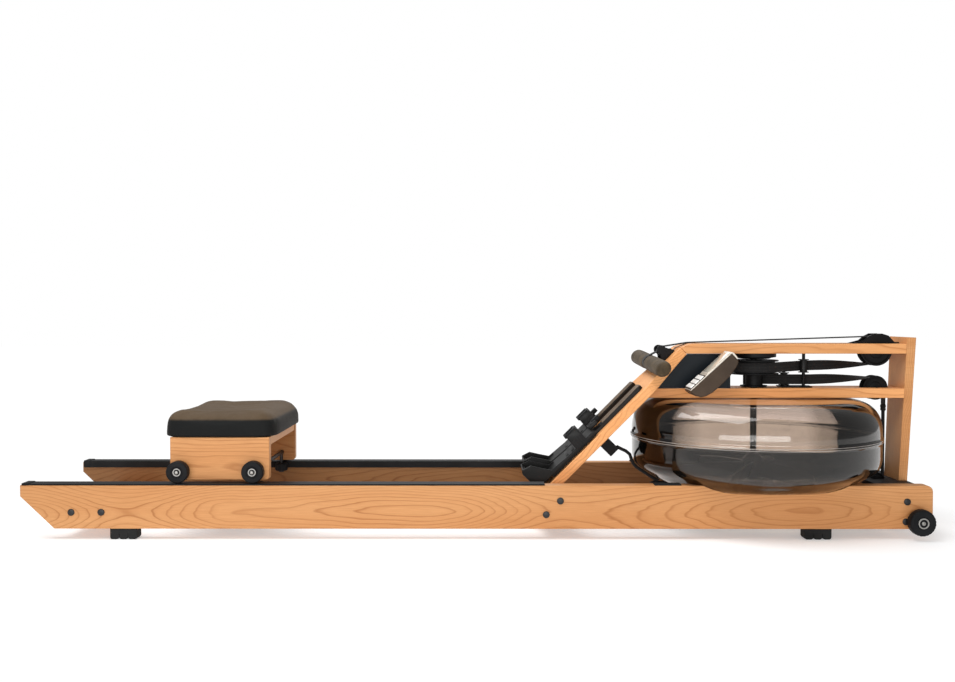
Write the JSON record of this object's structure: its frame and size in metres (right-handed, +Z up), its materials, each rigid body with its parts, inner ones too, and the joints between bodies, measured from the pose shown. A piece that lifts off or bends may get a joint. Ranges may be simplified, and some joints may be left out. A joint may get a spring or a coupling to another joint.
{
  "type": "rowing machine",
  "caption": "Wooden water-resistance rowing machine: sliding seat on two rails, slanted footboard, pull handle on a strap, round water tank with a paddle, and a side monitor.",
  "frame": {"origin": "middle of the overall length and width, on the floor plane under the feet", "axes": "+X along the rails towards the water tank, +Z up, -Y the rower's right-hand side, where the monitor is"},
  "size_m": [2.1212, 0.6068, 0.471],
  "materials": {
    "ash_wood": "satin",
    "black_plastic": "satin",
    "black_rubber": "matte",
    "webbing": "matte",
    "smoky_polycarbonate": "gloss",
    "bar_steel": "satin",
    "cushion_foam": "satin",
    "silver_plastic": "satin",
    "taupe_plastic": "satin",
    "dark_blue_plastic": "satin",
    "white_plastic": "satin"
  },
  "bodies": {
    "frame": {"rail_right": "ash_wood", "rail_left": "ash_wood", "track_right": "black_plastic", "track_left": "black_plastic", "foot_rear_right": "black_rubber", "foot_front_right": "black_rubber", "foot_rear_left": "black_rubber", "foot_front_left": "black_rubber", "rear_spacer": "ash_wood", "mid_spacer": "ash_wood", "front_spacer": "ash_wood", "base_plate": "black_plastic", "footboard": "ash_wood", "top_deck": "ash_wood", "lower_deck": "ash_wood", "front_post": "ash_wood", "tank_lower_shell": "smoky_polycarbonate", "tank_upper_shell": "smoky_polycarbonate", "shaft_bearing": "black_plastic", "strap_guide_bracket": "black_plastic", "top_pulley_cover": "black_plastic", "drive_strap": "webbing", "recoil_strap": "webbing", "bungee_cleat": "black_plastic", "side_panel": "dark_blue_plastic", "handle_rest": "black_plastic", "stretcher_base_right": "black_plastic", "stretcher_base_left": "black_plastic", "monitor_bracket": "black_plastic"},
    "seat": {"seat_cushion": "cushion_foam", "seat_board": "ash_wood", "seat_side_right": "ash_wood", "seat_side_left": "ash_wood", "seat_axle_rear": "bar_steel", "seat_axle_front": "bar_steel"},
    "seat_wheel_rear_right": {"seat_wheel_rear_right": "black_rubber"},
    "seat_wheel_front_right": {"seat_wheel_front_right": "black_rubber"},
    "seat_wheel_rear_left": {"seat_wheel_rear_left": "black_rubber"},
    "seat_wheel_front_left": {"seat_wheel_front_left": "black_rubber"},
    "centring_roller_right": {"centring_roller_right": "black_rubber"},
    "centring_roller_left": {"centring_roller_left": "black_rubber"},
    "handle": {"handle_bar": "bar_steel", "grip_right": "black_rubber", "grip_left": "black_rubber"},
    "drive_spool": {"drive_spool": "black_plastic"},
    "upper_guide_roller": {"upper_guide_roller": "black_plastic"},
    "lower_guide_roller": {"lower_guide_roller": "black_plastic"},
    "top_pulley": {"top_pulley": "black_plastic"},
    "lower_pulley": {"lower_pulley": "black_plastic"},
    "base_pulley": {"base_pulley": "black_plastic"},
    "paddle": {"paddle": "black_plastic"},
    "transport_wheel_right": {"transport_wheel_right": "black_rubber"},
    "transport_wheel_left": {"transport_wheel_left": "black_rubber"},
    "heel_slide_right": {"heel_slide_right": "black_plastic"},
    "heel_slide_left": {"heel_slide_left": "black_plastic"},
    "monitor": {"monitor_case": "taupe_plastic", "monitor_face": "silver_plastic"},
    "monitor_button_lower": {"monitor_button_lower": "white_plastic"},
    "monitor_button_middle": {"monitor_button_middle": "white_plastic"},
    "monitor_button_upper": {"monitor_button_upper": "white_plastic"}
  },
  "joints": [
    {"name": "seat_slide", "type": "slide", "parent": "frame", "child": "seat", "axis": [1, 0, 0], "range_m": [-0.31, 0.6]},
    {"name": "seat_wheel_rear_right_spin", "type": "hinge", "parent": "seat", "child": "seat_wheel_rear_right", "pos_m": [-0.70065, -0.187, 0.1538], "axis": [0, 1, 0], "continuous": true},
    {"name": "seat_wheel_rear_left_spin", "type": "hinge", "parent": "seat", "child": "seat_wheel_rear_left", "pos_m": [-0.70065, 0.187, 0.1538], "axis": [0, 1, 0], "continuous": true},
    {"name": "seat_wheel_front_right_spin", "type": "hinge", "parent": "seat", "child": "seat_wheel_front_right", "pos_m": [-0.52715, -0.187, 0.1538], "axis": [0, 1, 0], "continuous": true},
    {"name": "seat_wheel_front_left_spin", "type": "hinge", "parent": "seat", "child": "seat_wheel_front_left", "pos_m": [-0.52715, 0.187, 0.1538], "axis": [0, 1, 0], "continuous": true},
    {"name": "centring_roller_right_spin", "type": "hinge", "parent": "seat", "child": "centring_roller_right", "pos_m": [-0.52715, -0.1472, 0.116], "axis": [0, 0, 1], "continuous": true},
    {"name": "centring_roller_left_spin", "type": "hinge", "parent": "seat", "child": "centring_roller_left", "pos_m": [-0.52715, 0.1472, 0.116], "axis": [0, 0, 1], "continuous": true},
    {"name": "handle_pull", "type": "slide", "parent": "frame", "child": "handle", "axis": [-1, 0, 0], "range_m": [0, 0.9]},
    {"name": "drive_spool_spin", "type": "hinge", "parent": "frame", "child": "drive_spool", "pos_m": [0.67985, 0, 0.388], "axis": [0, 0, 1], "continuous": true},
    {"name": "top_pulley_spin", "type": "hinge", "parent": "frame", "child": "top_pulley", "pos_m": [0.97935, 0, 0.43], "axis": [0, 1, 0], "continuous": true},
    {"name": "upper_guide_spin", "type": "hinge", "parent": "frame", "child": "upper_guide_roller", "pos_m": [0.80035, -0.0108, 0.391], "axis": [0, 0, 1], "continuous": true},
    {"name": "lower_guide_spin", "type": "hinge", "parent": "frame", "child": "lower_guide_roller", "pos_m": [0.75835, 0.0108, 0.357], "axis": [0, 0, 1], "continuous": true},
    {"name": "lower_pulley_spin", "type": "hinge", "parent": "frame", "child": "lower_pulley", "pos_m": [0.97785, 0, 0.337], "axis": [0, 1, 0], "continuous": true},
    {"name": "base_pulley_spin", "type": "hinge", "parent": "frame", "child": "base_pulley", "pos_m": [0.98535, 0, 0.106], "axis": [0, 1, 0], "continuous": true},
    {"name": "paddle_spin", "type": "hinge", "parent": "frame", "child": "paddle", "pos_m": [0.67985, 0, 0.2], "axis": [0, 0, 1], "continuous": true},
    {"name": "transport_wheel_right_spin", "type": "hinge", "parent": "frame", "child": "transport_wheel_right", "pos_m": [1.00685, -0.215, 0.0425], "axis": [0, 1, 0], "continuous": true},
    {"name": "transport_wheel_left_spin", "type": "hinge", "parent": "frame", "child": "transport_wheel_left", "pos_m": [1.00685, 0.215, 0.0425], "axis": [0, 1, 0], "continuous": true},
    {"name": "heel_right_adjust", "type": "slide", "parent": "frame", "child": "heel_slide_right", "axis": [0.7034, 0, 0.7108], "range_m": [-0.02, 0.09]},
    {"name": "heel_left_adjust", "type": "slide", "parent": "frame", "child": "heel_slide_left", "axis": [0.7034, 0, 0.7108], "range_m": [-0.035, 0.075]},
    {"name": "monitor_tilt", "type": "hinge", "parent": "frame", "child": "monitor", "pos_m": [0.5954, -0.078, 0.41535], "axis": [0, 1, 0], "range_deg": [-6, 25]},
    {"name": "monitor_button_lower_press", "type": "slide", "parent": "monitor", "child": "monitor_button_lower", "axis": [0.6782, 0, -0.7349], "range_m": [0, 0.001], "stiffness_N_per_m": 800, "springref_m": -0.0005},
    {"name": "monitor_button_middle_press", "type": "slide", "parent": "monitor", "child": "monitor_button_middle", "axis": [0.6782, 0, -0.7349], "range_m": [0, 0.001], "stiffness_N_per_m": 800, "springref_m": -0.0005},
    {"name": "monitor_button_upper_press", "type": "slide", "parent": "monitor", "child": "monitor_button_upper", "axis": [0.6782, 0, -0.7349], "range_m": [0, 0.001], "stiffness_N_per_m": 800, "springref_m": -0.0005}
  ],
  "couplings": [
    {"joint": "seat_wheel_rear_right_spin", "follows": "seat_slide", "rad_per_m": 39.216},
    {"joint": "seat_wheel_rear_left_spin", "follows": "seat_slide", "rad_per_m": 39.216},
    {"joint": "seat_wheel_front_right_spin", "follows": "seat_slide", "rad_per_m": 39.216},
    {"joint": "seat_wheel_front_left_spin", "follows": "seat_slide", "rad_per_m": 39.216},
    {"joint": "centring_roller_right_spin", "follows": "seat_slide", "rad_per_m": -62.5},
    {"joint": "centring_roller_left_spin", "follows": "seat_slide", "rad_per_m": 62.5},
    {"joint": "drive_spool_spin", "follows": "handle_pull", "rad_per_m": 18.779},
    {"joint": "top_pulley_spin", "follows": "handle_pull", "rad_per_m": -29.197},
    {"joint": "upper_guide_spin", "follows": "handle_pull", "rad_per_m": -93.023},
    {"joint": "lower_guide_spin", "follows": "handle_pull", "rad_per_m": -42.363},
    {"joint": "lower_pulley_spin", "follows": "handle_pull", "rad_per_m": -18.4},
    {"joint": "base_pulley_spin", "follows": "handle_pull", "rad_per_m": -26.4}
  ]
}
